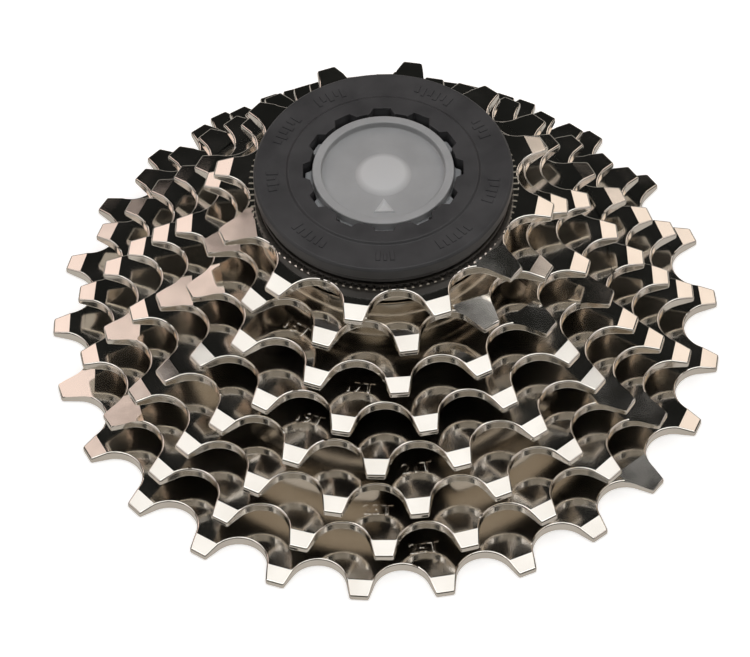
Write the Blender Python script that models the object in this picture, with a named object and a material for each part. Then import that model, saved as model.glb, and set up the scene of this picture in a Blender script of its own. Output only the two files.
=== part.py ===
"""Eight-speed cassette on its shipping holder, lying on its largest sprocket.

Metres, +Z up the axle axis from the largest sprocket's back face.
"""

import math

import bmesh
import bpy
from mathutils import Matrix

MM = 0.001

# Driving dimensions, in millimetres and degrees.
TEETH = (12, 13, 15, 17, 19, 21, 23, 25)
CHAIN_PITCH = 12.7
SEAT_DEPTH = 3.95  # below the pitch circle
SEAT_RADIUS = 4.4
TOOTH_HEIGHT = 1.6  # tip above the pitch circle
TIP_WIDTH = 2.9
TIP_CHAMFER_LENGTH = 2.6
TIP_CHAMFER_DEPTH = 0.75
SPROCKET_THICKNESS = 1.8
SPROCKET_PITCH = 4.8
# How far each sprocket is turned from a tooth on +X.
TURN = (19.0, -0.2, 9.1, 4.3, 1.8, 1.5, 2.6, 5.3)

SPLINES = 9
BORE_DIAMETER = 34.9
TAB_DEPTH = 1.45
TAB_ANGLE = 15.0
KEY_TAB_ANGLE = 23.0

CLEARANCE = 0.3
SPACER_COLLAR_WALL = 1.6  # round the bore of a loose sprocket

PINS = 3
PIN_DIAMETER = 2.5
PIN_HEAD_DIAMETER = 3.8
PIN_HEAD_HEIGHT = 0.7
PIN_FIRST_ANGLE = 97.0

SPACER_RELIEF = 0.55  # between the splined bore and a spacer's bore
SPACER_WALL = 2.4
SPACER_EAR_DIAMETER = 6.6

WINDOW_SPROCKETS = (21, 23, 25)
WINDOWS = 6
WINDOW_ANGLE = 40.0
WINDOW_GAP = 1.4  # from an ear to the windows
WINDOW_HEIGHT = 5.6  # in the smallest sprocket that has windows
WINDOW_GROWTH = 2.0  # from one of these sprockets to the next
WINDOW_CORNER = 1.5

WASHER_STEP = 0.5  # inside the lockring's edge
WASHER_THICKNESS = 0.7

LOCKRING_DIAMETER = 39.4
LOCKRING_FLANGE = 2.3
LOCKRING_RIM_BEVEL = 0.35
LOCKRING_TUBE_GAP = 0.8  # from the tube to the spline tabs
LOCKRING_TUBE_LENGTH = 7.0
LOCKRING_TUBE_WALL = 3.05
COLLAR_EDGE = 4.9  # raised ring, from the flange's edge
COLLAR_HEIGHT = 0.35
NOTCHES = 12
NOTCH_DEPTH = 0.95
NOTCH_FLOOR_WIDTH = 2.6
NOTCH_MOUTH_WIDTH = 3.6

HOLDER_SINK = 0.1  # below the lockring's highest face
RIM_STEP = 0.15  # the rim, in from the wall between the lugs
LUG_DROP = 1.6  # below the rim
LUG_HEIGHT = 3.0
NECK_STEP = 0.5  # how far the neck below the lugs is set in
CAP_THICKNESS = 3.0
DISH_RIM = 1.35
DISH_DEPTH = 1.2
DOME_DIAMETER = 8.6
DOME_HEIGHT = 0.8
DOME_RINGS = 3
HOLDER_WALL = 1.6
LEGS = 3
LEG_SLOT_WIDTH = 9.0
LEG_SLOT_LENGTH = 14.0
HOOK_REACH = 0.9  # over the edge of a spline tab
HOOK_SLOPE_LENGTH = 0.8
LEG_TIP_TAPER = 0.5
FOOT_GAP = 0.5  # from the leg's end to the resting plane

# Radii that follow from the sizes above.
BORE_RADIUS = BORE_DIAMETER / 2
TAB_RADIUS = BORE_RADIUS - TAB_DEPTH
SPACER_COLLAR_RADIUS = BORE_RADIUS + SPACER_COLLAR_WALL
PIN_CIRCLE_RADIUS = SPACER_COLLAR_RADIUS + CLEARANCE + PIN_HEAD_DIAMETER / 2
SPACER_BORE_RADIUS = BORE_RADIUS + SPACER_RELIEF
SPACER_RADIUS = SPACER_BORE_RADIUS + SPACER_WALL
WINDOW_INNER_RADIUS = PIN_CIRCLE_RADIUS + SPACER_EAR_DIAMETER / 2 + WINDOW_GAP
TUBE_RADIUS = TAB_RADIUS - LOCKRING_TUBE_GAP
NOTCH_RADIUS = TUBE_RADIUS - LOCKRING_TUBE_WALL
NOTCH_TOOTH_RADIUS = NOTCH_RADIUS - NOTCH_DEPTH
LOCKRING_RADIUS = LOCKRING_DIAMETER / 2

ROUND = 48  # sides of a turned shape
SEAT_SIDES = 5  # sides of the arc that a chain roller sits in
PIN_SIDES = 10
WINDOW_SIDES = 5  # along each long side of a window


def polar(radius, degrees):
    angle = math.radians(degrees)
    return (radius * math.cos(angle), radius * math.sin(angle))


def circle(radius, sides=ROUND, centre=(0.0, 0.0)):
    return [
        (centre[0] + x, centre[1] + y)
        for x, y in (polar(radius, 360 * i / sides) for i in range(sides))
    ]


def pitch_radius(teeth):
    return CHAIN_PITCH / 2 / math.sin(math.pi / teeth)


def back_face(teeth):
    """Height of a sprocket's back face above the largest one's."""
    return (len(TEETH) - 1 - TEETH.index(teeth)) * SPROCKET_PITCH


def top_face(teeth):
    return back_face(teeth) + SPROCKET_THICKNESS


def material(name, colour, roughness, metallic, transmission=0.0):
    new = bpy.data.materials.new(name)
    new.use_nodes = True
    new.diffuse_color = (*colour, 1.0)
    shader = new.node_tree.nodes["Principled BSDF"]
    shader.inputs["Base Color"].default_value = (*colour, 1.0)
    shader.inputs["Roughness"].default_value = roughness
    shader.inputs["Metallic"].default_value = metallic
    shader.inputs["Transmission Weight"].default_value = transmission
    return new


def add_object(name, mesh_data, surface):
    """Turns a bmesh in millimetres into a named object."""
    bmesh.ops.recalc_face_normals(mesh_data, faces=mesh_data.faces)
    bmesh.ops.scale(mesh_data, vec=(MM, MM, MM), verts=mesh_data.verts)
    mesh = bpy.data.meshes.new(name)
    mesh_data.to_mesh(mesh)
    mesh_data.free()
    mesh.shade_smooth()
    mesh.set_sharp_from_angle(angle=math.radians(30))
    if surface:
        mesh.materials.append(surface)
    new = bpy.data.objects.new(name, mesh)
    bpy.context.collection.objects.link(new)
    return new


def add_loop(mesh_data, points, z):
    """Adds a closed outline at one height and returns its vertices."""
    corners = [mesh_data.verts.new((x, y, z)) for x, y in points]
    for i, corner in enumerate(corners):
        mesh_data.edges.new((corners[i - 1], corner))
    return corners


def fill(mesh_data, *loops):
    """Fills the flat area between an outline and the holes in it."""
    edges = []
    for loop in loops:
        edges += [mesh_data.edges.get((loop[i - 1], v)) for i, v in enumerate(loop)]
    bmesh.ops.triangle_fill(mesh_data, use_beauty=True, edges=edges)


def wall(mesh_data, lower, upper):
    """Joins two outlines of the same number of points."""
    for i in range(len(lower)):
        mesh_data.faces.new((lower[i - 1], lower[i], upper[i], upper[i - 1]))


def plate(mesh_data, outlines, low, high):
    """A flat plate between two heights, its first outline the outer one."""
    lower = [add_loop(mesh_data, points, low) for points in outlines]
    upper = [add_loop(mesh_data, points, high) for points in outlines]
    fill(mesh_data, *lower)
    fill(mesh_data, *upper)
    for below, above in zip(lower, upper):
        wall(mesh_data, below, above)


def cut(target, tool):
    """Cuts a helper shape away. It stays hidden as the modifier's object."""
    tool.hide_render = True
    tool.display_type = "WIRE"
    modifier = target.modifiers.new("cut_" + tool.name, "BOOLEAN")
    modifier.operation = "DIFFERENCE"
    modifier.object = tool


def spline_bore():
    """The nine-tab bore that keys a sprocket to the wheel. One tab is wider."""
    points = []
    for i in range(SPLINES):
        centre = 360 / SPLINES * i + 90
        half = (KEY_TAB_ANGLE if i == 0 else TAB_ANGLE) / 2
        following = 360 / SPLINES * (i + 1) + 90
        next_half = (KEY_TAB_ANGLE if i == SPLINES - 1 else TAB_ANGLE) / 2
        points += [polar(TAB_RADIUS, centre + half * side) for side in (-1, 0, 1)]
        groove_start = centre + half
        groove_end = following - next_half
        points += [
            polar(BORE_RADIUS, groove_start + (groove_end - groove_start) * part)
            for part in (0, 0.5, 1)
        ]
    return points


def tooth_frame(teeth, turn, index):
    """Axes of one tooth: the direction along its tip edge and the one out to its tip."""
    angle = math.radians(turn + 360 / teeth * index)
    outward = (math.cos(angle), math.sin(angle))
    along = (-math.sin(angle), math.cos(angle))
    return along, outward


def in_frame(frame, side, out):
    along, outward = frame
    return (along[0] * side + outward[0] * out, along[1] * side + outward[1] * out)


def tooth_points(teeth, turn, index):
    """One tooth: seat before it, near flank at the chamfer, tip, far flank."""
    frame = tooth_frame(teeth, turn, index)
    half_step = math.pi / teeth
    seat_centre = pitch_radius(teeth) + SEAT_RADIUS - SEAT_DEPTH
    seat_out = seat_centre * math.cos(half_step)
    seat_side = seat_centre * math.sin(half_step)
    tip_height = pitch_radius(teeth) + TOOTH_HEIGHT
    chamfer_height = tip_height - TIP_CHAMFER_LENGTH
    drop = seat_out - chamfer_height
    reach = math.acos(drop / SEAT_RADIUS) - half_step
    seat = []
    for i in range(1, SEAT_SIDES):
        angle = half_step + reach * (2 * i / SEAT_SIDES - 1)
        side = -seat_side + SEAT_RADIUS * math.sin(angle)
        out = seat_out - SEAT_RADIUS * math.cos(angle)
        seat.append(in_frame(frame, side, out))
    flank = seat_side - math.sqrt(SEAT_RADIUS**2 - drop**2)
    shoulders = [in_frame(frame, side * flank, chamfer_height) for side in (-1, 1)]
    tips = [in_frame(frame, side * TIP_WIDTH / 2, tip_height) for side in (-1, 1)]
    return seat, shoulders, tips


def sprocket(teeth, turn, surface):
    """A toothed plate. A loose one has its spacer collar on the back."""
    low = back_face(teeth)
    high = top_face(teeth)
    chamfer_z = high - TIP_CHAMFER_DEPTH
    mesh_data = bmesh.new()
    lower_outline = []
    upper_outline = []
    for i in range(teeth):
        seat, shoulders, tips = tooth_points(teeth, turn, i)
        lower_outline += seat + [shoulders[0], *tips, shoulders[1]]
        upper_outline += seat + shoulders
    holes = []
    if teeth in TEETH[2:]:
        holes += [
            circle(PIN_DIAMETER / 2 + CLEARANCE, PIN_SIDES, polar(PIN_CIRCLE_RADIUS, angle))
            for angle in pin_angles()
        ]
    if teeth in WINDOW_SPROCKETS:
        holes += [window(teeth, angle) for angle in window_angles()]
    bore = spline_bore()
    collar_depth = SPROCKET_PITCH - SPROCKET_THICKNESS - CLEARANCE
    collar = teeth in TEETH[:2]
    bore_low = low - collar_depth if collar else low

    lower = add_loop(mesh_data, lower_outline, low)
    upper = add_loop(mesh_data, upper_outline, high)
    bore_bottom = add_loop(mesh_data, bore, bore_low)
    bore_top = add_loop(mesh_data, bore, high)
    hole_bottoms = [add_loop(mesh_data, hole, low) for hole in holes]
    hole_tops = [add_loop(mesh_data, hole, high) for hole in holes]
    fill(mesh_data, upper, bore_top, *hole_tops)
    for below, above in zip(hole_bottoms, hole_tops):
        wall(mesh_data, below, above)
    wall(mesh_data, bore_bottom, bore_top)
    if collar:
        round_wall = circle(SPACER_COLLAR_RADIUS)
        collar_top = add_loop(mesh_data, round_wall, low)
        collar_bottom = add_loop(mesh_data, round_wall, bore_low)
        fill(mesh_data, lower, collar_top)
        fill(mesh_data, collar_bottom, bore_bottom)
        wall(mesh_data, collar_bottom, collar_top)
    else:
        fill(mesh_data, lower, bore_bottom, *hole_bottoms)

    below_tooth = SEAT_SIDES + 3
    above_tooth = SEAT_SIDES + 1
    for i in range(teeth):
        down = lower[i * below_tooth:(i + 1) * below_tooth]
        up = upper[i * above_tooth:(i + 1) * above_tooth]
        near, near_tip, far_tip, far = down[SEAT_SIDES - 1:]
        near_up, far_up = up[SEAT_SIDES - 1:]
        tip_edge = [
            mesh_data.verts.new((v.co.x, v.co.y, chamfer_z)) for v in (near_tip, far_tip)
        ]
        mesh_data.faces.new((near_up, tip_edge[0], tip_edge[1], far_up))
        mesh_data.faces.new((near_tip, far_tip, tip_edge[1], tip_edge[0]))
        mesh_data.faces.new((near, near_tip, tip_edge[0], near_up))
        mesh_data.faces.new((far_tip, far, far_up, tip_edge[1]))
        before_down = lower[i * below_tooth - 1]
        before_up = upper[i * above_tooth - 1]
        run_down = [before_down, *down[:SEAT_SIDES]]
        run_up = [before_up, *up[:SEAT_SIDES]]
        for j in range(SEAT_SIDES):
            mesh_data.faces.new((run_down[j], run_down[j + 1], run_up[j + 1], run_up[j]))
    return add_object(f"sprocket_{teeth}t", mesh_data, surface)


def pin_angles():
    return [PIN_FIRST_ANGLE + 360 / PINS * i for i in range(PINS)]


def window_angles():
    """Windows stand either side of the pins."""
    return [PIN_FIRST_ANGLE + 360 / WINDOWS * (i + 0.5) for i in range(WINDOWS)]


def window(teeth, angle):
    """A curved window with its corners cut, taller in a larger sprocket."""
    inner = WINDOW_INNER_RADIUS
    height = WINDOW_HEIGHT + WINDOW_GROWTH * WINDOW_SPROCKETS.index(teeth)
    outer = inner + height
    start = angle - WINDOW_ANGLE / 2
    end = angle + WINDOW_ANGLE / 2
    points = []
    for radius, first, last, corner in (
        (outer, start, end, outer - WINDOW_CORNER),
        (inner, end, start, inner + WINDOW_CORNER),
    ):
        cut_angle = math.degrees(WINDOW_CORNER / radius) * (1 if last > first else -1)
        points.append(polar(corner, first))
        for i in range(WINDOW_SIDES + 1):
            share = i / WINDOW_SIDES
            points.append(polar(radius, first + cut_angle + (last - first - 2 * cut_angle) * share))
        points.append(polar(corner, last))
    return points


def spacer_outline():
    """A round ring with an ear round each pin."""
    centre = PIN_CIRCLE_RADIUS
    ear = SPACER_EAR_DIAMETER / 2
    points = []
    for i in range(ROUND * 2):
        angle = 360 * i / (ROUND * 2)
        radius = SPACER_RADIUS
        for pin in pin_angles():
            offset = math.radians((angle - pin + 180) % 360 - 180)
            across = centre * math.sin(offset)
            if abs(across) < ear and math.cos(offset) > 0:
                radius = max(radius, centre * math.cos(offset) + math.sqrt(ear**2 - across**2))
        points.append((radius, angle))
    kept = [
        polar(radius, angle)
        for i, (radius, angle) in enumerate(points)
        if radius > SPACER_RADIUS or i % 2 == 0
    ]
    return kept


def spacer(teeth, next_teeth, surface):
    """A plastic ring between two riveted sprockets."""
    mesh_data = bmesh.new()
    holes = [
        circle(PIN_DIAMETER / 2 + CLEARANCE, PIN_SIDES, polar(PIN_CIRCLE_RADIUS, angle))
        for angle in pin_angles()
    ]
    outlines = [spacer_outline(), circle(SPACER_BORE_RADIUS), *holes]
    low = top_face(next_teeth) + CLEARANCE
    high = back_face(teeth) - CLEARANCE
    plate(mesh_data, outlines, low, high)
    return add_object(f"spacer_{teeth}_{next_teeth}", mesh_data, surface)


def fixing_pin(number, angle, surface):
    """A long rivet through the cluster, its head on the smallest riveted sprocket."""
    mesh_data = bmesh.new()
    centre = polar(PIN_CIRCLE_RADIUS, angle)
    shank = circle(PIN_DIAMETER / 2, PIN_SIDES, centre)
    head = circle(PIN_HEAD_DIAMETER / 2, PIN_SIDES, centre)
    head_low = top_face(TEETH[2]) + CLEARANCE
    end = add_loop(mesh_data, shank, CLEARANCE)
    neck = add_loop(mesh_data, shank, head_low)
    head_bottom = add_loop(mesh_data, head, head_low)
    head_top = add_loop(mesh_data, head, head_low + PIN_HEAD_HEIGHT)
    fill(mesh_data, end)
    wall(mesh_data, end, neck)
    wall(mesh_data, neck, head_bottom)
    wall(mesh_data, head_bottom, head_top)
    fill(mesh_data, head_top)
    return add_object(f"fixing_pin_{number}", mesh_data, surface)


def washer_low():
    return top_face(TEETH[0]) + CLEARANCE


def flange_low():
    return washer_low() + WASHER_THICKNESS + CLEARANCE


def flange_high():
    return flange_low() + LOCKRING_FLANGE


def tube_low():
    return flange_low() - LOCKRING_TUBE_LENGTH


def notched_outline(inset):
    """The lockring's twelve notches, or the lugs that fill them when inset."""
    floor = NOTCH_RADIUS - inset
    tooth = NOTCH_TOOTH_RADIUS - inset
    floor_half = math.degrees(math.asin((NOTCH_FLOOR_WIDTH / 2 - inset) / floor))
    mouth_half = math.degrees(math.asin((NOTCH_MOUTH_WIDTH / 2 - inset) / tooth))
    step = 360 / NOTCHES
    points = []
    for i in range(NOTCHES):
        middle = 270 + step * i
        points.append(polar(tooth, middle - mouth_half))
        points.append(polar(floor, middle - floor_half))
        points.append(polar(floor, middle + floor_half))
        points.append(polar(tooth, middle + mouth_half))
        points.append(polar(tooth, middle + step / 2))
    return points


def lockring_washer(surface):
    mesh_data = bmesh.new()
    bore = circle(TUBE_RADIUS + CLEARANCE)
    low = washer_low()
    plate(mesh_data, [circle(LOCKRING_RADIUS - WASHER_STEP), bore], low, low + WASHER_THICKNESS)
    return add_object("lockring_washer", mesh_data, surface)


def lockring(surface):
    """A flange on a tube, with twelve notches right through for the tool."""
    mesh_data = bmesh.new()
    collar_top = flange_high() + COLLAR_HEIGHT
    bore_low = add_loop(mesh_data, notched_outline(0), tube_low())
    bore_high = add_loop(mesh_data, notched_outline(0), collar_top)
    outside = (
        (TUBE_RADIUS, tube_low()),
        (TUBE_RADIUS, flange_low()),
        (LOCKRING_RADIUS - LOCKRING_RIM_BEVEL, flange_low()),
        (LOCKRING_RADIUS, flange_low() + LOCKRING_RIM_BEVEL),
        (LOCKRING_RADIUS, flange_high() - LOCKRING_RIM_BEVEL),
        (LOCKRING_RADIUS - LOCKRING_RIM_BEVEL, flange_high()),
        (LOCKRING_RADIUS - COLLAR_EDGE, flange_high()),
        (LOCKRING_RADIUS - COLLAR_EDGE - COLLAR_HEIGHT, collar_top),
    )
    rings = [add_loop(mesh_data, circle(radius), z) for radius, z in outside]
    fill(mesh_data, rings[0], bore_low)
    for below, above in zip(rings, rings[1:]):
        wall(mesh_data, below, above)
    fill(mesh_data, rings[-1], bore_high)
    wall(mesh_data, bore_low, bore_high)
    return add_object("lockring", mesh_data, surface)


def dome_profile(floor):
    """Rings of the low dome in the middle of the dish, then its crown."""
    rings = []
    for i in range(DOME_RINGS):
        angle = math.pi / 2 * i / DOME_RINGS
        radius = DOME_DIAMETER / 2 * math.cos(angle)
        rings.append((radius, floor + DOME_HEIGHT * math.sin(angle)))
    return rings


def leg_slot(number, low, high):
    """A cutter for one gap between two snap legs."""
    mesh_data = bmesh.new()
    reach = TAB_RADIUS + HOOK_REACH + CLEARANCE
    half = LEG_SLOT_WIDTH / 2
    outline = [(0, -half), (reach, -half), (reach, half), (0, half)]
    plate(mesh_data, [outline], low, high)
    turn = Matrix.Rotation(math.radians(90 + 360 / LEGS * number), 3, "Z")
    bmesh.ops.rotate(mesh_data, matrix=turn, verts=mesh_data.verts)
    return add_object(f"leg_slot_{number}", mesh_data, None)


def shipping_holder(surface):
    """One moulding: a lugged cap in the lockring, and a sleeve with snap legs."""
    top = flange_high() + COLLAR_HEIGHT - HOLDER_SINK
    dish_floor = top - DISH_DEPTH
    rim = NOTCH_TOOTH_RADIUS - CLEARANCE
    neck = rim - NECK_STEP
    lug_top = top - LUG_DROP
    lug_low = lug_top - LUG_HEIGHT
    sleeve = TAB_RADIUS - CLEARANCE
    shoulder = tube_low() - CLEARANCE
    hook = TAB_RADIUS + HOOK_REACH
    hook_top = back_face(TEETH[-2]) - CLEARANCE
    hook_low = top_face(TEETH[-1]) + CLEARANCE + HOOK_SLOPE_LENGTH
    inside = sleeve - HOLDER_WALL
    outside = (
        (neck, lug_low),
        (neck, shoulder),
        (sleeve, shoulder),
        (sleeve, hook_top),
        (hook, hook_top),
        (hook, hook_low),
        (sleeve, hook_low - HOOK_SLOPE_LENGTH),
        (sleeve - LEG_TIP_TAPER, FOOT_GAP),
        (inside, FOOT_GAP),
        (inside, shoulder - HOLDER_WALL),
        (neck - HOLDER_WALL, shoulder - HOLDER_WALL),
        (neck - HOLDER_WALL, top - CAP_THICKNESS),
    )
    mesh_data = bmesh.new()
    rings = [add_loop(mesh_data, circle(radius), z) for radius, z in outside]
    for above, below in zip(rings, rings[1:]):
        wall(mesh_data, above, below)
    fill(mesh_data, rings[-1])
    lugs_low = add_loop(mesh_data, notched_outline(CLEARANCE), lug_low)
    lugs_high = add_loop(mesh_data, notched_outline(CLEARANCE), lug_top)
    wall(mesh_data, lugs_low, lugs_high)
    fill(mesh_data, lugs_low, rings[0])
    set_in = rim - RIM_STEP
    rim_low = add_loop(mesh_data, circle(set_in), lug_top)
    rim_high = add_loop(mesh_data, circle(set_in), top)
    fill(mesh_data, lugs_high, rim_low)
    wall(mesh_data, rim_low, rim_high)
    dish = [(set_in - DISH_RIM, top), (set_in - DISH_RIM, dish_floor)]
    dish += dome_profile(dish_floor)
    dish_rings = [add_loop(mesh_data, circle(radius), z) for radius, z in dish]
    fill(mesh_data, rim_high, dish_rings[0])
    for outer, inner in zip(dish_rings, dish_rings[1:]):
        wall(mesh_data, outer, inner)
    crown = mesh_data.verts.new((0, 0, dish_floor + DOME_HEIGHT))
    last = dish_rings[-1]
    for i in range(ROUND):
        mesh_data.faces.new((last[i - 1], last[i], crown))
    holder = add_object("shipping_holder", mesh_data, surface)
    for i in range(LEGS):
        slot = leg_slot(i, -CLEARANCE, hook_low + LEG_SLOT_LENGTH)
        cut(holder, slot)
    return holder


def build():
    for old in list(bpy.data.objects):
        bpy.data.objects.remove(old, do_unlink=True)

    nickel = material("nickel_plated_steel", (0.62, 0.60, 0.57), 0.12, 1.0)
    black_plastic = material("black_plastic", (0.02, 0.02, 0.02), 0.5, 0.0)
    pin_steel = material("pin_steel", (0.45, 0.44, 0.42), 0.35, 1.0)
    black_steel = material("blackened_steel", (0.03, 0.03, 0.032), 0.55, 0.0)
    clear_grey = material("translucent_grey_plastic", (0.45, 0.46, 0.47), 0.35, 0.0, 0.3)

    for teeth, turn in zip(TEETH, TURN):
        sprocket(teeth, turn, nickel)
    riveted = TEETH[2:]
    for teeth, next_teeth in zip(riveted, riveted[1:]):
        spacer(teeth, next_teeth, black_plastic)
    for number, angle in enumerate(pin_angles(), 1):
        fixing_pin(number, angle, pin_steel)
    lockring_washer(black_steel)
    lockring(black_steel)
    shipping_holder(clear_grey)


build()
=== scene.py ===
"""Eight-speed bicycle cassette on its shipping holder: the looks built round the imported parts."""

import math

import bpy
from mathutils import Matrix, Vector


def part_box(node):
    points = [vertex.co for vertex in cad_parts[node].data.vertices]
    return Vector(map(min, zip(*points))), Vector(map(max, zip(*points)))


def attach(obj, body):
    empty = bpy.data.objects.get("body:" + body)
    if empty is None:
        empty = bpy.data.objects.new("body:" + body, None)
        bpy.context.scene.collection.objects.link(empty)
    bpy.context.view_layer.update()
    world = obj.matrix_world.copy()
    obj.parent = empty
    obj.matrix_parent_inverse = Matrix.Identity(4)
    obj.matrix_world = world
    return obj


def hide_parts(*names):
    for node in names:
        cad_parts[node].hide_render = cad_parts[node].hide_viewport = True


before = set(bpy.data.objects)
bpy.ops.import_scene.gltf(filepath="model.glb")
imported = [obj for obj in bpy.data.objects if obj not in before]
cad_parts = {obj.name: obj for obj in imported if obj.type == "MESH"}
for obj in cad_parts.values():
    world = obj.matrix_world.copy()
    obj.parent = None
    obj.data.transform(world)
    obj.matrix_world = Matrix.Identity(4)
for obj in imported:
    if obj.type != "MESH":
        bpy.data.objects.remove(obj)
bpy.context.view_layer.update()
MM = 0.001


# The riveted sprockets are stamped from steel strip, coined and bright nickel plated. Each is a
# flat plate with a roller seat between every two teeth, a chamfer on the outer side of each tip, a
# nine-tab bore and holes for the pins. The three largest have windows to save weight.
CHAIN_PITCH = 12.7 * MM
SEAT_DEPTH = 3.95 * MM  # below the pitch circle
SEAT_RADIUS = 4.4 * MM
TOOTH_HEIGHT = 1.6 * MM
TIP_WIDTH = 2.9 * MM
CHAMFER_LENGTH = 2.6 * MM
CHAMFER_DEPTH = 0.75 * MM
PLATE_THICKNESS = 1.8 * MM
SEAT_STEPS = 24
EDGE_BREAK = 0.3 * MM  # the tumbled edge of the stamping
BORE_RADIUS = 17.45 * MM
TAB_RADIUS = 16.0 * MM
SPLINES = 9
TAB_ANGLE = 15.0
KEY_TAB_ANGLE = 23.0
BORE_STEPS = 360
SPROCKET_TURN = {25: 5.3, 23: 2.6, 21: 1.5, 19: 1.8, 17: 4.3, 15: 9.1, 13: -0.2, 12: 19.0}
RIVETED = (25, 23, 21, 19, 17, 15)
LOOSE = (13, 12)
PIN_CIRCLE = 21.25 * MM
PIN_HOLE_RADIUS = 1.55 * MM
PIN_FIRST_ANGLE = 97.0
PINS = 3
PIN_STEPS = 60
WINDOWS = 6
WINDOW_ANGLE = 40.0
WINDOW_INNER = 25.95 * MM
WINDOW_OUTER = {21: 31.55 * MM, 23: 33.55 * MM, 25: 35.55 * MM}
WINDOW_CORNER = 1.6 * MM
WINDOW_STEPS = 20
WINDOW_CORNER_STEPS = 8
AT_CORNER = 0.001  # radians
SHIFT_GATES = (195, 325, 80)  # degrees round the axle
GATE_DRIFT = 9.0  # how far the gates move round from one sprocket to the next
RAMP_START = 5.4 * MM  # back from the tip
RAMP_LENGTH = 7.0 * MM
RAMP_WIDTH = 7.0 * MM
RAMP_SLOPE = math.radians(8)
RAMP_SKEW = math.radians(14)
RAMP_OFFSET = 1.2  # to one side of the tooth's middle
STAMP_SIZE = 2.9 * MM
STAMP_RELIEF = 0.12 * MM
STAMP_FROM_SEAT = 1.3 * MM
STAMP_THINNING = 0.012 * MM
STAMP_CURVE_STEPS = 4
STAMP_ANGLES = {25: 277, 23: 262, 21: 268, 19: 258, 17: 250, 15: 238}
SMOOTH_ANGLE = math.radians(7)
HAIR = 0.001 * MM  # a tolerance for finding and joining points
COINING_CLOUD = 7 * MM
COINING_WAVE = 4 * MM


def linear(code):
    """An sRGB hex colour as the linear colour a shader takes."""
    parts = [int(code[i:i + 2], 16) / 255 for i in (0, 2, 4)]
    return [p / 12.92 if p <= 0.04045 else ((p + 0.055) / 1.055) ** 2.4 for p in parts] + [1.0]


def add_node(tree, kind, settings=None, **links):
    """Adds a node, sets its properties and sockets, and links sockets given as outputs."""
    node = tree.nodes.new(kind)
    for key, value in (settings or {}).items():
        setattr(node, key, value)
    for key, value in links.items():
        socket = node.inputs[key.replace("_", " ")]
        if isinstance(value, bpy.types.NodeSocket):
            tree.links.new(value, socket)
        else:
            socket.default_value = value
    return node


def new_material(name, **constants):
    """A material with its shader's plain values set, its node tree and that shader."""
    made = bpy.data.materials.new(name)
    made.use_nodes = True
    shader = made.node_tree.nodes["Principled BSDF"]
    for key, value in constants.items():
        shader.inputs[key.replace("_", " ")].default_value = value
    return made, made.node_tree, shader


def vary(tree, pattern, socket, low, high, start=0.3, end=0.7):
    """Links a pattern to a socket so that it runs between two colours or two values."""
    if isinstance(low, str):
        ramp = add_node(tree, "ShaderNodeValToRGB", Fac=pattern)
        ramp.color_ramp.elements[0].position = start
        ramp.color_ramp.elements[0].color = linear(low)
        ramp.color_ramp.elements[1].position = end
        ramp.color_ramp.elements[1].color = linear(high)
        tree.links.new(ramp.outputs["Color"], socket)
    else:
        spread = add_node(
            tree,
            "ShaderNodeMapRange",
            Value=pattern,
            From_Min=start,
            From_Max=end,
            To_Min=low,
            To_Max=high,
        )
        tree.links.new(spread.outputs["Result"], socket)


def relief(tree, shader, height, strength, depth):
    """Gives the surface a fine relief."""
    bump = add_node(tree, "ShaderNodeBump", Strength=strength, Distance=depth, Height=height)
    tree.links.new(bump.outputs["Normal"], shader.inputs["Normal"])


def bright_nickel_plate():
    """Bright nickel on stamped steel: a warm mirror, wavy from the coining, hazed by handling."""
    made, tree, shader = new_material("bright_nickel_plate", Metallic=1.0)
    place = add_node(tree, "ShaderNodeTexCoord").outputs["Object"]
    cloud = add_node(tree, "ShaderNodeTexNoise", Vector=place, Scale=1 / COINING_CLOUD, Detail=3.0)
    vary(tree, cloud.outputs["Fac"], shader.inputs["Base Color"], "E4DED5", "EFEAE2")
    vary(tree, cloud.outputs["Fac"], shader.inputs["Roughness"], 0.07, 0.15)
    wave = add_node(tree, "ShaderNodeTexNoise", Vector=place, Scale=1 / COINING_WAVE, Detail=1.0)
    relief(tree, shader, wave.outputs["Fac"], 0.08, 0.1 * MM)
    return made


def edit():
    bpy.ops.object.mode_set(mode="EDIT")


def done_editing():
    bpy.ops.object.mode_set(mode="OBJECT")


def active():
    return bpy.context.view_layer.objects.active


def pick(test, kind="verts"):
    """Selects just the vertices or faces of the edited mesh whose place passes a test."""
    done_editing()
    mesh = active().data
    for group in (mesh.polygons, mesh.edges, mesh.vertices):
        group.foreach_set("select", [False] * len(group))
    if kind == "verts":
        for vertex in mesh.vertices:
            vertex.select = bool(test(vertex.co))
    else:
        for face in mesh.polygons:
            face.select = bool(test(face.center))
    edit()
    bpy.ops.mesh.select_mode(type="VERT" if kind == "verts" else "FACE")


def start(operator, **settings):
    """Adds a primitive with nothing else selected and opens it for editing."""
    bpy.ops.object.select_all(action="DESELECT")
    operator(**settings)
    bpy.ops.object.transform_apply(location=True, rotation=True, scale=True)
    edit()
    bpy.ops.mesh.select_mode(type="VERT")
    bpy.ops.mesh.select_all(action="SELECT")


def only(piece):
    """Makes one object the active and only selected one."""
    bpy.ops.object.select_all(action="DESELECT")
    piece.select_set(True)
    bpy.context.view_layer.objects.active = piece
    return piece


def join(*pieces):
    """Joins objects into the first and leaves it active."""
    only(pieces[0])
    for piece in pieces[1:]:
        piece.select_set(True)
    bpy.ops.object.join()
    return pieces[0]


def combine(piece, tool, operation="DIFFERENCE"):
    """Cuts one solid from another, or welds it on, and takes the tool away."""
    only(piece)
    modifier = piece.modifiers.new("combine", "BOOLEAN")
    modifier.operation = operation
    modifier.solver = "MANIFOLD"
    modifier.object = tool
    bpy.ops.object.modifier_apply(modifier=modifier.name)
    bpy.data.objects.remove(tool, do_unlink=True)
    return piece


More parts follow.
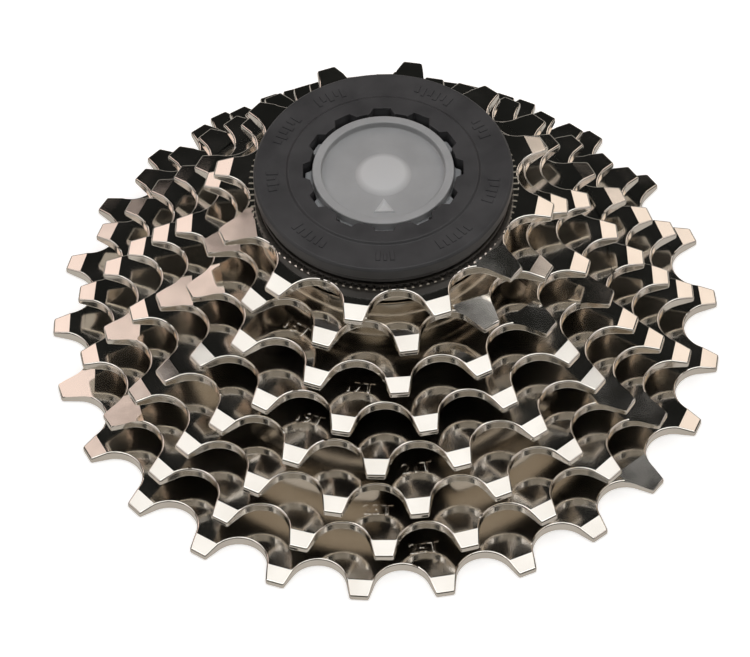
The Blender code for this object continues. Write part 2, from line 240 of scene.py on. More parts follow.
def finish_edges(width, segments=2, angle=25.0):
    """Rounds the sharp edges of the active object to a full width, and shades it."""
    piece = only(active())
    bpy.ops.object.shade_smooth_by_angle(angle=SMOOTH_ANGLE)
    bevel = piece.modifiers.new("edge_break", "BEVEL")
    bevel.width = width
    bevel.segments = segments
    bevel.limit_method = "ANGLE"
    bevel.angle_limit = math.radians(angle)
    bevel.harden_normals = True
    bevel.use_clamp_overlap = False
    bpy.ops.object.modifier_apply(modifier=bevel.name)


def name_piece(name, material, slot, body, *nodes):
    """Names the active object, gives it its surface and puts it in the place of CAD nodes."""
    piece = active()
    piece.name = name
    piece.data.name = name
    piece.data.materials.clear()
    piece.data.materials.append(material)
    if nodes:
        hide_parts(*nodes)
    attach(piece, body)
    return piece


def polar(radius, degrees):
    """A point on a circle round the axle."""
    angle = math.radians(degrees)
    return radius * math.cos(angle), radius * math.sin(angle)


def round_outline(radius, z, steps=96, x=0.0, y=0.0):
    start(bpy.ops.mesh.primitive_circle_add, vertices=steps, radius=radius, location=(x, y, z))
    done_editing()
    return active()


def bore_outline(z):
    """A circle whose tab stretches are drawn in to the tab radius."""
    round_outline(BORE_RADIUS, z, BORE_STEPS)

    def on_tab(place):
        angle = math.degrees(math.atan2(place.y, place.x)) - 90
        step = 360 / SPLINES
        away = abs((angle + step / 2) % step - step / 2)
        key = abs((angle + 180) % 360 - 180) < step / 2
        return away <= (KEY_TAB_ANGLE if key else TAB_ANGLE) / 2

    pick(on_tab)
    scale = TAB_RADIUS / BORE_RADIUS
    bpy.ops.transform.resize(value=(scale, scale, 1), center_override=(0, 0, z))
    done_editing()
    return active()


def window_outline(outer, angle, z):
    """A curved window: a radial edge spun through its angle, its corners rounded."""
    begin = math.radians(angle - WINDOW_ANGLE / 2)
    end = math.radians(angle + WINDOW_ANGLE / 2)
    height = outer - WINDOW_INNER
    start(
        bpy.ops.mesh.primitive_plane_add,
        size=height,
        location=(WINDOW_INNER + height / 2, -height / 2, z),
    )
    pick(lambda place: place.y < -height / 2)
    bpy.ops.mesh.delete(type="VERT")
    bpy.ops.mesh.select_all(action="SELECT")
    bpy.ops.transform.rotate(value=-begin, orient_axis="Z", center_override=(0, 0, z))
    bpy.ops.mesh.spin(
        steps=WINDOW_STEPS, angle=-math.radians(WINDOW_ANGLE), center=(0, 0, z), axis=(0, 0, 1)
    )
    bpy.ops.mesh.select_all(action="SELECT")
    bpy.ops.mesh.dissolve_faces()

    def at_corner(place):
        turn = math.atan2(place.y, place.x)
        away = min(abs(math.remainder(turn - side, math.tau)) for side in (begin, end))
        return away < AT_CORNER

    pick(at_corner)
    bpy.ops.mesh.bevel(affect="VERTICES", offset=WINDOW_CORNER, segments=WINDOW_CORNER_STEPS)
    bpy.ops.mesh.select_mode(type="FACE")
    bpy.ops.mesh.select_all(action="SELECT")
    bpy.ops.mesh.delete(type="ONLY_FACE")
    done_editing()
    return active()


def toothed_outline(teeth, z):
    """One tip with the seat beside it, spun round to make the whole edge."""
    half_step = math.pi / teeth
    pitch_radius = CHAIN_PITCH / 2 / math.sin(half_step)
    seat_centre = pitch_radius + SEAT_RADIUS - SEAT_DEPTH
    seat_out = seat_centre * math.cos(half_step)
    seat_side = seat_centre * math.sin(half_step)
    tip_out = pitch_radius + TOOTH_HEIGHT
    shoulder_out = tip_out - CHAMFER_LENGTH
    drop = seat_out - shoulder_out
    shoulder_half = seat_side - math.sqrt(SEAT_RADIUS**2 - drop**2)
    middle = (tip_out + shoulder_out) / 2
    start(bpy.ops.mesh.primitive_plane_add, size=CHAMFER_LENGTH, location=(middle, 0, z))
    for outer, half in ((True, TIP_WIDTH / 2), (False, shoulder_half)):
        pick(lambda place: (place.x > middle) == outer)
        bpy.ops.transform.resize(
            value=(1, half / (CHAMFER_LENGTH / 2), 1), center_override=(middle, 0, z)
        )
    pick(lambda place: place.x < middle and place.y > 0)
    sweep = 2 * (math.acos(drop / SEAT_RADIUS) - half_step)
    bpy.ops.mesh.spin(
        steps=SEAT_STEPS, angle=sweep, center=(seat_out, seat_side, z), axis=(0, 0, 1)
    )
    bpy.ops.mesh.select_all(action="SELECT")
    turn = math.radians(SPROCKET_TURN[teeth])
    bpy.ops.transform.rotate(value=-turn, orient_axis="Z", center_override=(0, 0, z))
    bpy.ops.mesh.spin(steps=teeth, dupli=True, angle=math.tau, center=(0, 0, z), axis=(0, 0, 1))
    bpy.ops.mesh.select_all(action="SELECT")
    bpy.ops.mesh.remove_doubles(threshold=HAIR * 5)
    done_editing()
    return active(), math.hypot(shoulder_out, shoulder_half), tip_out


def ramp_cutters(teeth, tip_out, top):
    """Tilted blocks that press a shift ramp into the face of the tooth nearest to each gate."""
    step = 360 / teeth
    blocks = []
    for gate in SHIFT_GATES:
        gate += GATE_DRIFT * ((teeth // 2) % 3 - 1)
        tooth = round((gate - SPROCKET_TURN[teeth]) / step)
        angle = SPROCKET_TURN[teeth] + step * tooth + RAMP_OFFSET
        reach = tip_out - RAMP_START
        start(
            bpy.ops.mesh.primitive_cube_add,
            size=1,
            location=(reach + RAMP_LENGTH / 2, 0, top + MM),
            scale=(RAMP_LENGTH, RAMP_WIDTH, 2 * MM),
        )
        bpy.ops.transform.rotate(
            value=-RAMP_SLOPE, orient_axis="Y", center_override=(reach, 0, top)
        )
        bpy.ops.transform.rotate(
            value=RAMP_SKEW, orient_axis="Z", center_override=(reach, 0, top)
        )
        bpy.ops.transform.rotate(
            value=-math.radians(angle), orient_axis="Z", center_override=(0, 0, top)
        )
        done_editing()
        blocks.append(active())
    return join(*blocks)


def stamped_number(teeth, z):
    """The tooth count on the face, where a seat of the next smaller sprocket leaves it in view."""
    smaller = max(count for count in SPROCKET_TURN if count < teeth)
    step = 360 / smaller
    seat = round((STAMP_ANGLES[teeth] - SPROCKET_TURN[smaller]) / step - 0.5) + 0.5
    angle = SPROCKET_TURN[smaller] + step * seat
    radius = CHAIN_PITCH / 2 / math.sin(math.pi / smaller) - SEAT_DEPTH + STAMP_FROM_SEAT
    bpy.ops.object.select_all(action="DESELECT")
    bpy.ops.object.text_add(location=(0, 0, 0))
    struck = active()
    struck.data.body = f"{teeth}T"
    struck.data.size = STAMP_SIZE
    struck.data.align_x = "CENTER"
    struck.data.align_y = "CENTER"
    struck.data.offset = -STAMP_THINNING
    struck.data.extrude = STAMP_RELIEF / 2
    struck.data.bevel_depth = STAMP_RELIEF / 2
    struck.data.resolution_u = STAMP_CURVE_STEPS
    bpy.ops.object.convert(target="MESH")
    edit()
    bpy.ops.mesh.select_all(action="SELECT")
    bpy.ops.transform.translate(value=(0, -radius, z))
    bpy.ops.transform.rotate(
        value=-math.radians(angle + 90), orient_axis="Z", center_override=(0, 0, 0)
    )
    done_editing()


def toothed_plate(teeth, holes, collar_radius=0.0):
    """Fills an outline round its holes, thickens it, draws out any collar, lowers the tips and
    cuts the shift ramps. The ring inside a collar is filled on its own, or the bore would close."""
    low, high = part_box(f"sprocket_{teeth}t")
    top = high.z
    outline, shoulder_radius, tip_radius = toothed_outline(teeth, top)
    join(outline, bore_outline(top), *holes)
    pick(lambda place: collar_radius - HAIR < place.xy.length < shoulder_radius + HAIR * 10)
    bpy.ops.mesh.fill(use_beauty=True)
    if collar_radius:
        pick(lambda place: place.xy.length < collar_radius + HAIR)
        bpy.ops.mesh.fill(use_beauty=True)
    bpy.ops.mesh.select_all(action="SELECT")
    bpy.ops.mesh.extrude_region_move(TRANSFORM_OT_translate={"value": (0, 0, -PLATE_THICKNESS)})
    bpy.ops.mesh.select_all(action="SELECT")
    bpy.ops.mesh.normals_make_consistent(inside=False)
    if collar_radius:
        back = top - PLATE_THICKNESS + HAIR
        pick(lambda place: place.z < back and place.xy.length < collar_radius - HAIR, "faces")
        depth = top - PLATE_THICKNESS - low.z
        bpy.ops.mesh.extrude_region_move(TRANSFORM_OT_translate={"value": (0, 0, -depth)})
    pick(lambda place: place.z > top - HAIR and place.xy.length > tip_radius - HAIR)
    bpy.ops.transform.translate(value=(0, 0, -CHAMFER_DEPTH))
    done_editing()
    finish_edges(EDGE_BREAK)
    plate = active()
    combine(plate, ramp_cutters(teeth, tip_radius, top))


nickel = bright_nickel_plate()
for teeth in RIVETED:
    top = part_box(f"sprocket_{teeth}t")[1].z
    holes = []
    for i in range(PINS):
        place = polar(PIN_CIRCLE, PIN_FIRST_ANGLE + 360 / PINS * i)
        holes.append(round_outline(PIN_HOLE_RADIUS, top, PIN_STEPS, *place))
    if teeth in WINDOW_OUTER:
        for i in range(WINDOWS):
            middle = PIN_FIRST_ANGLE + 360 / WINDOWS * (i + 0.5)
            holes.append(window_outline(WINDOW_OUTER[teeth], middle, top))
    toothed_plate(teeth, holes)
    node = f"sprocket_{teeth}t"
    name_piece(f"toothed_plate_{teeth}t", nickel, "nickel_plate", "riveted_cluster", node)
    stamped_number(teeth, top)
    name_piece(f"stamped_number_{teeth}t", nickel, "nickel_plate", "riveted_cluster")


# The spacers between the riveted sprockets are moulded in black nylon. Each is a ring with an ear
# round every pin, and its edges have a small radius from the mould.
SPACER_BORE = 18.0 * MM
SPACER_RADIUS = 20.4 * MM
SPACER_EAR = 3.3 * MM
SPACER_EDGE = 0.18 * MM
BORE_STOCK = 0.5 * MM  # drilled away once the ears are welded on
MOULD_CLOUD = 3 * MM
MOULD_GRAIN = 0.4 * MM  # coarser than the real grain, so that it shows


def moulded_black_nylon():
    """Glass-filled nylon: a satin black with the fine grain of the mould."""
    made, tree, shader = new_material("moulded_black_nylon", IOR=1.53)
    place = add_node(tree, "ShaderNodeTexCoord").outputs["Object"]
    cloud = add_node(tree, "ShaderNodeTexNoise", Vector=place, Scale=1 / MOULD_CLOUD, Detail=4.0)
    vary(tree, cloud.outputs["Fac"], shader.inputs["Base Color"], "161616", "202021")
    vary(tree, cloud.outputs["Fac"], shader.inputs["Roughness"], 0.4, 0.55)
    grain = add_node(tree, "ShaderNodeTexNoise", Vector=place, Scale=1 / MOULD_GRAIN, Detail=2.0)
    relief(tree, shader, grain.outputs["Fac"], 0.25, 0.03 * MM)
    return made


def turned(profile, steps=128, x=0.0, y=0.0):
    """Spins a half section, given as radius and height, round an upright axis."""
    first = profile[0]
    start(bpy.ops.mesh.primitive_plane_add, size=MM, location=(x + first[0], y, first[1]))
    bpy.ops.mesh.merge(type="CENTER")
    for here, there in zip(profile, profile[1:]):
        step = (there[0] - here[0], 0, there[1] - here[1])
        bpy.ops.mesh.extrude_vertices_move(TRANSFORM_OT_translate={"value": step})
    bpy.ops.mesh.select_all(action="SELECT")
    bpy.ops.mesh.spin(steps=steps, angle=math.tau, center=(x, y, 0), axis=(0, 0, 1))
    bpy.ops.mesh.select_all(action="SELECT")
    bpy.ops.mesh.remove_doubles(threshold=HAIR)
    bpy.ops.mesh.normals_make_consistent(inside=False)
    done_editing()
    return active()


def round_bar(radius, low, high, steps=96, x=0.0, y=0.0):
    """A plain cylinder for welding on or cutting with."""
    return turned([(0, low), (radius, low), (radius, high), (0, high)], steps, x, y)


def tube(bore, radius, low, high, steps=128):
    section = [(bore, low), (radius, low), (radius, high), (bore, high), (bore, low)]
    return turned(section, steps)


nylon = moulded_black_nylon()
for teeth, below in zip(RIVETED[1:], RIVETED):
    node = f"spacer_{teeth}_{below}"
    low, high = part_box(node)
    ears = []
    drills = [round_bar(SPACER_BORE, low.z - MM, high.z + MM, 128)]
    for i in range(PINS):
        place = polar(PIN_CIRCLE, PIN_FIRST_ANGLE + 360 / PINS * i)
        ears.append(round_bar(SPACER_EAR, low.z, high.z, PIN_STEPS, *place))
        drills.append(round_bar(PIN_HOLE_RADIUS, low.z - MM, high.z + MM, PIN_STEPS, *place))
    ring = tube(SPACER_BORE - BORE_STOCK, SPACER_RADIUS, low.z, high.z)
    combine(ring, join(*ears), "UNION")
    combine(ring, join(*drills))
    finish_edges(SPACER_EDGE)
    name_piece(f"nylon_ring_{teeth}_{below}", nylon, "black_plastic", "riveted_cluster", node)


# Three long steel pins hold the riveted sprockets and spacers together. They are cut from drawn
# wire, with a domed head formed on the smallest of these sprockets.
PIN_RADIUS = 1.25 * MM
PIN_HEAD_RADIUS = 1.9 * MM
PIN_HEAD_HEIGHT = 0.7 * MM
PIN_DOME = 0.5 * MM
PIN_EDGE = 0.08 * MM
WIRE_STREAK = 0.3 * MM  # coarser than the real streaks, so that they show


def drawn_steel_wire():
    """Drawn steel: a duller grey than the plating, with streaks along the pin."""
    made, tree, shader = new_material("drawn_steel_wire", Metallic=1.0)
    place = add_node(tree, "ShaderNodeTexCoord").outputs["Object"]
    along = add_node(tree, "ShaderNodeMapping", Vector=place, Scale=(1.0, 1.0, 0.08))
    streak = add_node(
        tree,
        "ShaderNodeTexNoise",
        Vector=along.outputs["Vector"],
        Scale=1 / WIRE_STREAK,
        Detail=3.0,
    )
    vary(tree, streak.outputs["Fac"], shader.inputs["Base Color"], "A8A29A", "C4BFB6")
    vary(tree, streak.outputs["Fac"], shader.inputs["Roughness"], 0.22, 0.42)
    relief(tree, shader, streak.outputs["Fac"], 0.2, 0.02 * MM)
    return made


wire = drawn_steel_wire()
for i in range(PINS):
    node = f"fixing_pin_{i + 1}"
    low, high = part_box(node)
    place = polar(PIN_CIRCLE, PIN_FIRST_ANGLE + 360 / PINS * i)
    head_low = high.z - PIN_HEAD_HEIGHT
    dome = [math.radians(angle) for angle in range(0, 91, 6)]
    head = [
        (PIN_HEAD_RADIUS * math.cos(a), high.z - PIN_DOME + PIN_DOME * math.sin(a)) for a in dome
    ]
    section = [
        (0, low.z),
        (PIN_RADIUS, low.z),
        (PIN_RADIUS, head_low),
        (PIN_HEAD_RADIUS, head_low),
    ]
    turned(section + head, PIN_STEPS, *place)
    finish_edges(PIN_EDGE, angle=50)
    name_piece(f"rivet_{i + 1}", wire, "pin_steel", "riveted_cluster", node)


# The two smallest sprockets are loose. A collar drawn out of the same stamping stands in for a
# spacer behind each, and the smallest has fine radial serrations that the lockring grips.
COLLAR_RADIUS = 19.05 * MM
SERRATIONS = 110
SERRATION_INNER = 19.55 * MM
SERRATION_OUTER = 20.6 * MM
SERRATION_WIDTH = 0.55 * MM
SERRATION_HEIGHT = 0.16 * MM
SERRATION_SINK = 0.02 * MM
SERRATION_CREST = 0.35
COLLAR_STEPS = 180


def wedge_ring(count, first, inner, outer, low, high, inner_width, outer_width, crest=1.0):
    """Blocks set evenly round the axis, each as wide as given at its two ends. A crest under 1
    slopes their sides."""
    middle = (inner + outer) / 2
    start(
        bpy.ops.mesh.primitive_cube_add,
        size=1,
        location=(middle, 0, (low + high) / 2),
        scale=(outer - inner, MM, high - low),
    )
    for outside, width in ((True, outer_width), (False, inner_width)):
        pick(lambda place: (place.x > middle) == outside)
        bpy.ops.transform.resize(value=(1, width / MM, 1), center_override=(middle, 0, low))
    if crest < 1:
        pick(lambda place: place.z > (low + high) / 2)
        bpy.ops.transform.resize(
            value=((1 + crest) / 2, crest, 1), center_override=(middle, 0, high)
        )
    bpy.ops.mesh.select_all(action="SELECT")
    bpy.ops.transform.rotate(
        value=-math.radians(first), orient_axis="Z", center_override=(0, 0, 0)
    )
    if count > 1:
        bpy.ops.mesh.spin(
            steps=count - 1,
            dupli=True,
            angle=math.tau * (count - 1) / count,
            center=(0, 0, 0),
            axis=(0, 0, 1),
        )
    done_editing()
    return active()


for teeth in LOOSE:
    node = f"sprocket_{teeth}t"
    collar = round_outline(COLLAR_RADIUS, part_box(node)[1].z, COLLAR_STEPS)
    toothed_plate(teeth, [collar], COLLAR_RADIUS)
    name_piece(f"toothed_plate_{teeth}t", nickel, "nickel_plate", node, node)
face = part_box("sprocket_12t")[1].z
wedge_ring(
    SERRATIONS,
    0,
    SERRATION_INNER,
    SERRATION_OUTER,
    face - SERRATION_SINK,
    face + SERRATION_HEIGHT,
    SERRATION_WIDTH,
    SERRATION_WIDTH,
    crest=SERRATION_CREST,
)
name_piece("clamping_serrations", nickel, "nickel_plate", "sprocket_12t")


# The washer under the lockring is a thin steel ring, blanked and blackened like the lockring.
WASHER_BORE = 15.5 * MM
WASHER_RADIUS = 19.2 * MM
WASHER_EDGE = 0.15 * MM
TURNED_STEPS = 180
CRYSTAL_CLOUD = 5 * MM
CRYSTAL_GRAIN = 0.3 * MM  # coarser than the real crystals, so that it shows


def black_phosphate():
    """Phosphated steel: matt, near black, with a fine crystalline tooth and paler worn patches."""
    made, tree, shader = new_material("black_phosphate", IOR=1.5)
    place = add_node(tree, "ShaderNodeTexCoord").outputs["Object"]
    cloud = add_node(tree, "ShaderNodeTexNoise", Vector=place, Scale=1 / CRYSTAL_CLOUD, Detail=5.0)
    vary(tree, cloud.outputs["Fac"], shader.inputs["Base Color"], "39393B", "474749")
    vary(tree, cloud.outputs["Fac"], shader.inputs["Roughness"], 0.42, 0.58)
    grain = add_node(tree, "ShaderNodeTexNoise", Vector=place, Scale=1 / CRYSTAL_GRAIN, Detail=2.0)
    relief(tree, shader, grain.outputs["Fac"], 0.3, 0.03 * MM)
    return made


phosphate = black_phosphate()
low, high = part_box("lockring_washer")
tube(WASHER_BORE, WASHER_RADIUS, low.z, high.z, TURNED_STEPS)
finish_edges(WASHER_EDGE)
name_piece("pressed_washer", phosphate, "black_steel", "lockring_washer", "lockring_washer")


# The lockring is turned steel: a flange with a raised inner ring on a threaded tube. Twelve
# notches are broached through it for the tool, and marks stand a little proud of the flange.
LOCKRING_RADIUS = 19.7 * MM
FLANGE_THICKNESS = 2.3 * MM
RIM_BEVEL = 0.35 * MM
RAISED_RING = 14.8 * MM
RAISED_HEIGHT = 0.35 * MM
TUBE_RADIUS = 15.2 * MM
THREAD_DEPTH = 0.6 * MM
THREAD_PITCH = 1.0 * MM
NOTCHES = 12
NOTCH_RADIUS = 12.15 * MM
NOTCH_TOOTH_RADIUS = 11.2 * MM
NOTCH_FLOOR_WIDTH = 2.6 * MM
NOTCH_MOUTH_WIDTH = 3.6 * MM
BROACH_INSIDE = 0.5 * MM  # how far the cutter starts inside the teeth
BROACH_FLARE = 0.4 * MM
LOCKRING_EDGE = 0.12 * MM
MARK_INNER = 15.9 * MM
MARK_OUTER = 17.8 * MM
MARK_STEP = 3.6
MARK_SHORTER = 0.5 * MM
MARK_NARROW = 0.55 * MM
MARK_WIDE = 0.75 * MM
MARK_SINK = 0.05 * MM
MARK_RELIEF = 0.13 * MM
MARK_CREST = 0.8
MARK_GROUPS = {270: 3, 308: 6, 345: 5, 28: 4, 62: 6, 118: 5, 150: 6, 186: 4, 228: 6}

low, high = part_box("lockring")
flange_high = high.z - RAISED_HEIGHT
flange_low = flange_high - FLANGE_THICKNESS
section = [
    (NOTCH_TOOTH_RADIUS, high.z),
    (NOTCH_TOOTH_RADIUS, low.z),
    (TUBE_RADIUS - THREAD_DEPTH, low.z),
]
turns = int((flange_low - low.z) / THREAD_PITCH) - 1
for i in range(turns):
    section.append((TUBE_RADIUS, low.z + (i + 0.5) * THREAD_PITCH))
    section.append((TUBE_RADIUS - THREAD_DEPTH, low.z + (i + 1) * THREAD_PITCH))
section += [
    (TUBE_RADIUS - THREAD_DEPTH, flange_low),
    (LOCKRING_RADIUS - RIM_BEVEL, flange_low),
    (LOCKRING_RADIUS, flange_low + RIM_BEVEL),
    (LOCKRING_RADIUS, flange_high - RIM_BEVEL),
    (LOCKRING_RADIUS - RIM_BEVEL, flange_high),
    (RAISED_RING, flange_high),
    (RAISED_RING - RAISED_HEIGHT, high.z),
    (NOTCH_TOOTH_RADIUS, high.z),
]
ring = turned(section, TURNED_STEPS)
notches = wedge_ring(
    NOTCHES,
    270,
    NOTCH_TOOTH_RADIUS - BROACH_INSIDE,
    NOTCH_RADIUS,
    low.z - MM,
    high.z + MM,
    NOTCH_MOUTH_WIDTH + BROACH_FLARE,
    NOTCH_FLOOR_WIDTH,
)
combine(ring, notches)
finish_edges(LOCKRING_EDGE)
name_piece("notched_lockring", phosphate, "black_steel", "lockring", "lockring")
marks = []
for middle, count in MARK_GROUPS.items():
    for i in range(count):
        angle = middle + (i - (count - 1) / 2) * MARK_STEP
        wide = MARK_NARROW if i % 3 == 1 else MARK_WIDE
        marks.append(
            wedge_ring(
                1,
                angle,
                MARK_INNER + (MARK_SHORTER if i % 2 else 0),
                MARK_OUTER,
                flange_high - MARK_SINK,
                flange_high + MARK_RELIEF,
                wide,
                wide,
                crest=MARK_CREST,
            )
        )
join(*marks)
name_piece("flange_marks", phosphate, "black_steel", "lockring")


# The shipping holder is one moulding in frosted polypropylene. Its cap has a raised round rim over
# twelve lugs that sit in the lockring's notches, and a dish with a low dome. Its sleeve ends in
# three snap legs, whose hooks lie between the two largest sprockets.
HOLDER_RIM = 10.75 * MM
LUG_ROOT_RADIUS = 10.9 * MM
LUG_RADIUS = 11.85 * MM
LUG_DROP = 1.6 * MM  # below the rim
LUG_HEIGHT = 3.0 * MM
LUG_FLOOR_WIDTH = 2.0 * MM
LUG_ROOT_WIDTH = 3.0 * MM
LUG_WELD = 0.6 * MM  # how far a lug runs into the cap
LUG_FLARE = 0.5 * MM
NECK_RADIUS = 10.4 * MM
CAP_THICKNESS = 3.0 * MM
DISH_RADIUS = 9.4 * MM
DISH_DEPTH = 1.2 * MM
DOME_RADIUS = 4.3 * MM
DOME_HEIGHT = 0.8 * MM
DOME_STEPS = 10
HOLDER_STEPS = 144
HOLDER_EDGE = 0.22 * MM
SLEEVE_RADIUS = 15.7 * MM
HOLDER_WALL = 1.6 * MM
TUBE_GAP = 0.3 * MM  # under the lockring
HOOK_RADIUS = 16.9 * MM
HOOK_HIGH = 4.5 * MM
HOOK_LOW = 2.9 * MM
HOOK_SLOPE = 0.8 * MM
LEG_TAPER = 0.5 * MM
LEG_SLOTS = 3
LEG_SLOT_WIDTH = 9.0 * MM
LEG_SLOT_TOP = 16.9 * MM
POINTER_SIZE = 2.1 * MM
POINTER_HEIGHT = 0.3 * MM
POINTER_PLACE = 6.7 * MM
POINTER_TAPER = 0.8
POINTER_RIM = 0.16  # of its size
POINTER_SINK = 0.8  # of its height
POINTER_EDGE = 0.04 * MM
# The dome's painted highlight: a paler base colour near the axis.
DOME_PAINTED_HIGHLIGHT = "ECEEF0"
DOME_HIGHLIGHT_FADE = 0.75  # of its radius, where the painted highlight starts to fade
FROST_CLOUD = 6 * MM
FROST_GRAIN = 0.5 * MM  # coarser than the real frosting, so that it shows


def frosted_polypropylene(name, low, high):
    """Natural polypropylene: milky, lets light through, softly frosted by the mould. The dome's
    base colour is painted paler towards its middle: a painted highlight."""
    made, tree, shader = new_material(name, IOR=1.49, Transmission_Weight=0.2)
    place = add_node(tree, "ShaderNodeTexCoord").outputs["Object"]
    cloud = add_node(tree, "ShaderNodeTexNoise", Vector=place, Scale=1 / FROST_CLOUD, Detail=4.0)
    flat = add_node(tree, "ShaderNodeMapping", Vector=place, Scale=(1.0, 1.0, 0.0))
    reach = add_node(
        tree, "ShaderNodeVectorMath", {"operation": "LENGTH"}, Vector=flat.outputs["Vector"]
    )
    # Painted highlight: the base colour turns paler towards the dome's middle.
    body_and_painted_highlight = add_node(tree, "ShaderNodeMixRGB", Color1=linear(DOME_PAINTED_HIGHLIGHT))
    fade = DOME_RADIUS * DOME_HIGHLIGHT_FADE
    vary(tree, reach.outputs["Value"], body_and_painted_highlight.inputs["Fac"], 0.0, 1.0, fade, DOME_RADIUS)
    vary(tree, cloud.outputs["Fac"], body_and_painted_highlight.inputs["Color2"], low, high)
    tree.links.new(body_and_painted_highlight.outputs["Color"], shader.inputs["Base Color"])
    vary(tree, cloud.outputs["Fac"], shader.inputs["Roughness"], 0.28, 0.42)
    grain = add_node(tree, "ShaderNodeTexNoise", Vector=place, Scale=1 / FROST_GRAIN, Detail=2.0)
    relief(tree, shader, grain.outputs["Fac"], 0.12, 0.02 * MM)
    return made


low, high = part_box("shipping_holder")
top = high.z
dish_floor = top - DISH_DEPTH
lug_top = top - LUG_DROP
lug_low = lug_top - LUG_HEIGHT
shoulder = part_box("lockring")[0].z - TUBE_GAP
neck_bore = NECK_RADIUS - HOLDER_WALL
sleeve_bore = SLEEVE_RADIUS - HOLDER_WALL
section = [
    (DOME_RADIUS * i / DOME_STEPS, dish_floor + DOME_HEIGHT * (1 - (i / DOME_STEPS) ** 2))
    for i in range(DOME_STEPS + 1)
]
section += [
    (DISH_RADIUS, dish_floor),
    (DISH_RADIUS, top),
    (HOLDER_RIM, top),
    (HOLDER_RIM, lug_top),
    (LUG_ROOT_RADIUS, lug_top),
    (LUG_ROOT_RADIUS, lug_low),
    (NECK_RADIUS, lug_low),
    (NECK_RADIUS, shoulder),
    (SLEEVE_RADIUS, shoulder),
    (SLEEVE_RADIUS, HOOK_HIGH),
    (HOOK_RADIUS, HOOK_HIGH),
    (HOOK_RADIUS, HOOK_LOW),
    (SLEEVE_RADIUS, HOOK_LOW - HOOK_SLOPE),
    (SLEEVE_RADIUS - LEG_TAPER, low.z),
    (sleeve_bore, low.z),
    (sleeve_bore, shoulder - HOLDER_WALL),
    (neck_bore, shoulder - HOLDER_WALL),
    (neck_bore, top - CAP_THICKNESS),
    (0, top - CAP_THICKNESS),
]
moulding = turned(section, HOLDER_STEPS)
lugs = wedge_ring(
    NOTCHES,
    270,
    LUG_ROOT_RADIUS - LUG_WELD,
    LUG_RADIUS,
    lug_low,
    lug_top,
    LUG_ROOT_WIDTH + LUG_FLARE,
    LUG_FLOOR_WIDTH,
)
combine(moulding, lugs, "UNION")
gaps = wedge_ring(
    LEG_SLOTS, 90, 0, HOOK_RADIUS + MM, low.z - MM, LEG_SLOT_TOP, LEG_SLOT_WIDTH, LEG_SLOT_WIDTH
)
combine(moulding, gaps)
finish_edges(HOLDER_EDGE, segments=3)
polypropylene = frosted_polypropylene("frosted_polypropylene", "B9BBBD", "C8CACC")
name_piece(
    "moulded_holder", polypropylene, "translucent_grey", "shipping_holder", "shipping_holder"
)
start(
    bpy.ops.mesh.primitive_cone_add,
    vertices=3,
    radius1=POINTER_SIZE,
    radius2=POINTER_SIZE * POINTER_TAPER,
    depth=POINTER_HEIGHT * 2,
    location=(0, -POINTER_PLACE, dish_floor),
)
pick(lambda place: place.z > dish_floor, "faces")
bpy.ops.mesh.inset(thickness=POINTER_SIZE * POINTER_RIM)
bpy.ops.transform.translate(value=(0, 0, -POINTER_HEIGHT * POINTER_SINK))
done_editing()
finish_edges(POINTER_EDGE)
# The pointer gets a paler copy of the holder's plastic: a painted highlight.
pointer_painted_highlight = frosted_polypropylene("frosted_polypropylene_thin_edge", "DDDFE1", "E9EBED")
name_piece("moulded_pointer", pointer_painted_highlight, "translucent_grey", "shipping_holder")


# The studio: a white sweep, soft lights overhead, in front and to the sides, and the camera. It is
# dark straight behind, which the flats mirror. The object's mirrored view of the sweep is dimmer
# and warmer than the camera's own, so that walls near the floor don't wash out.
SWEEP_SIZE = 6.0
SWEEP_GLOW = 0.5
MIRRORED_GLOW = 0.55
bpy.ops.object.select_all(action="DESELECT")
bpy.ops.mesh.primitive_plane_add(size=SWEEP_SIZE, location=(0, 0, 0))
floor = active()
floor.name = "studio_floor"
sweep, tree, shader = new_material("white_sweep", Roughness=0.9)
shader.inputs["Base Color"].default_value = linear("FFFFFF")
shader.inputs["Emission Color"].default_value = linear("FFFFFF")
shader.inputs["Emission Strength"].default_value = SWEEP_GLOW
mirrored = add_node(tree, "ShaderNodeEmission", Color=linear("F4EEE6"), Strength=MIRRORED_GLOW)
seen = add_node(tree, "ShaderNodeLightPath").outputs["Is Camera Ray"]
paper = add_node(tree, "ShaderNodeMixShader")
tree.links.new(seen, paper.inputs[0])
tree.links.new(mirrored.outputs["Emission"], paper.inputs[1])
tree.links.new(shader.outputs["BSDF"], paper.inputs[2])
tree.links.new(paper.outputs["Shader"], tree.nodes["Material Output"].inputs["Surface"])
floor.data.materials.append(sweep)

LENS = 257.5
SENSOR_WIDTH = 36
CLIP_START = 10 * MM
DISTANCE = 841.9 * MM
ELEVATION = math.radians(51.21)
ROLL = math.radians(-1.2)
AIM = Vector((-1.746 * MM, -0.077 * MM, 0.9 * MM))
back = Vector((0, -math.cos(ELEVATION), math.sin(ELEVATION)))
camera_data = bpy.data.cameras.new("studio_camera")
camera_data.lens = LENS
camera_data.sensor_width = SENSOR_WIDTH
camera_data.clip_start = CLIP_START
camera = bpy.data.objects.new("studio_camera", camera_data)
bpy.context.collection.objects.link(camera)
camera.matrix_world = (
    Matrix.Translation(AIM + back * DISTANCE)
    @ Matrix.Rotation(math.pi / 2 - ELEVATION, 4, "X")
    @ Matrix.Rotation(ROLL, 4, "Z")
)
bpy.context.scene.camera = camera


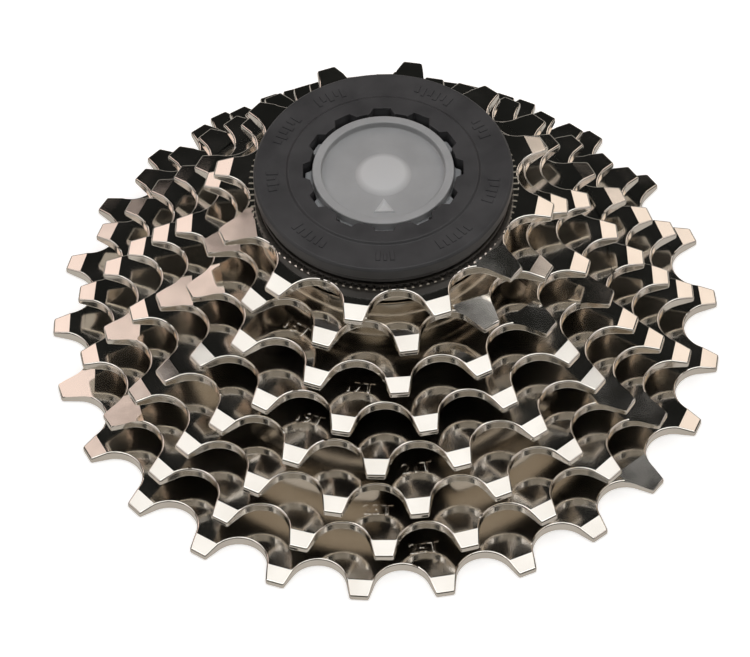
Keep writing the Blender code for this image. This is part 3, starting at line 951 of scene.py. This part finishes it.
def soft_light(name, azimuth, elevation, distance, width, height, brightness, colour="FFFFFF"):
    """A softbox that faces the object from a direction round it. Azimuth 0 is straight behind."""
    data = bpy.data.lights.new(name, "AREA")
    data.shape = "RECTANGLE"
    data.size = width
    data.size_y = height
    data.energy = brightness * math.pi * width * height
    data.color = linear(colour)[:3]
    lamp = bpy.data.objects.new(name, data)
    bpy.context.collection.objects.link(lamp)
    turn, lift = math.radians(azimuth), math.radians(elevation)
    side = distance * math.cos(lift)
    lamp.location = (-side * math.sin(turn), side * math.cos(turn), distance * math.sin(lift))
    lamp.rotation_euler = (-lamp.location).to_track_quat("-Z", "Y").to_euler()


soft_light("overhead_softbox", 180, 90, 1.6, 2.2, 1.3, 1.15)
soft_light("front_left_softbox", 128, 68, 1.8, 1.1, 0.6, 0.9)
soft_light("front_right_softbox", -128, 68, 1.8, 1.1, 0.6, 0.9)
soft_light("front_haze", 180, 45, 2.2, 3.2, 1.0, 0.3, "EDE6DA")
soft_light("left_softbox", 42, 38, 1.7, 0.8, 0.9, 1.15, "FFEAE2")
soft_light("right_softbox", -42, 38, 1.7, 0.8, 0.9, 1.15, "FFF0E4")
soft_light("left_fill", 100, 35, 1.8, 1.2, 1.0, 0.8, "FFF4EE")
soft_light("right_fill", -100, 35, 1.8, 1.2, 1.0, 0.8, "FFF4EE")

world = bpy.data.worlds.new("studio_world")
bpy.context.scene.world = world
world.use_nodes = True
tree = world.node_tree
dark = tree.nodes["Background"]
dark.inputs["Color"].default_value = linear("1C1D1C")
pale = add_node(tree, "ShaderNodeBackground", Color=linear("F6F6F6"), Strength=1.0)
seen = add_node(tree, "ShaderNodeLightPath").outputs["Is Camera Ray"]
sky = add_node(tree, "ShaderNodeMixShader")
tree.links.new(seen, sky.inputs[0])
tree.links.new(dark.outputs["Background"], sky.inputs[1])
tree.links.new(pale.outputs["Background"], sky.inputs[2])
tree.links.new(sky.outputs["Shader"], tree.nodes["World Output"].inputs["Surface"])
bpy.context.scene.view_settings.view_transform = "Standard"
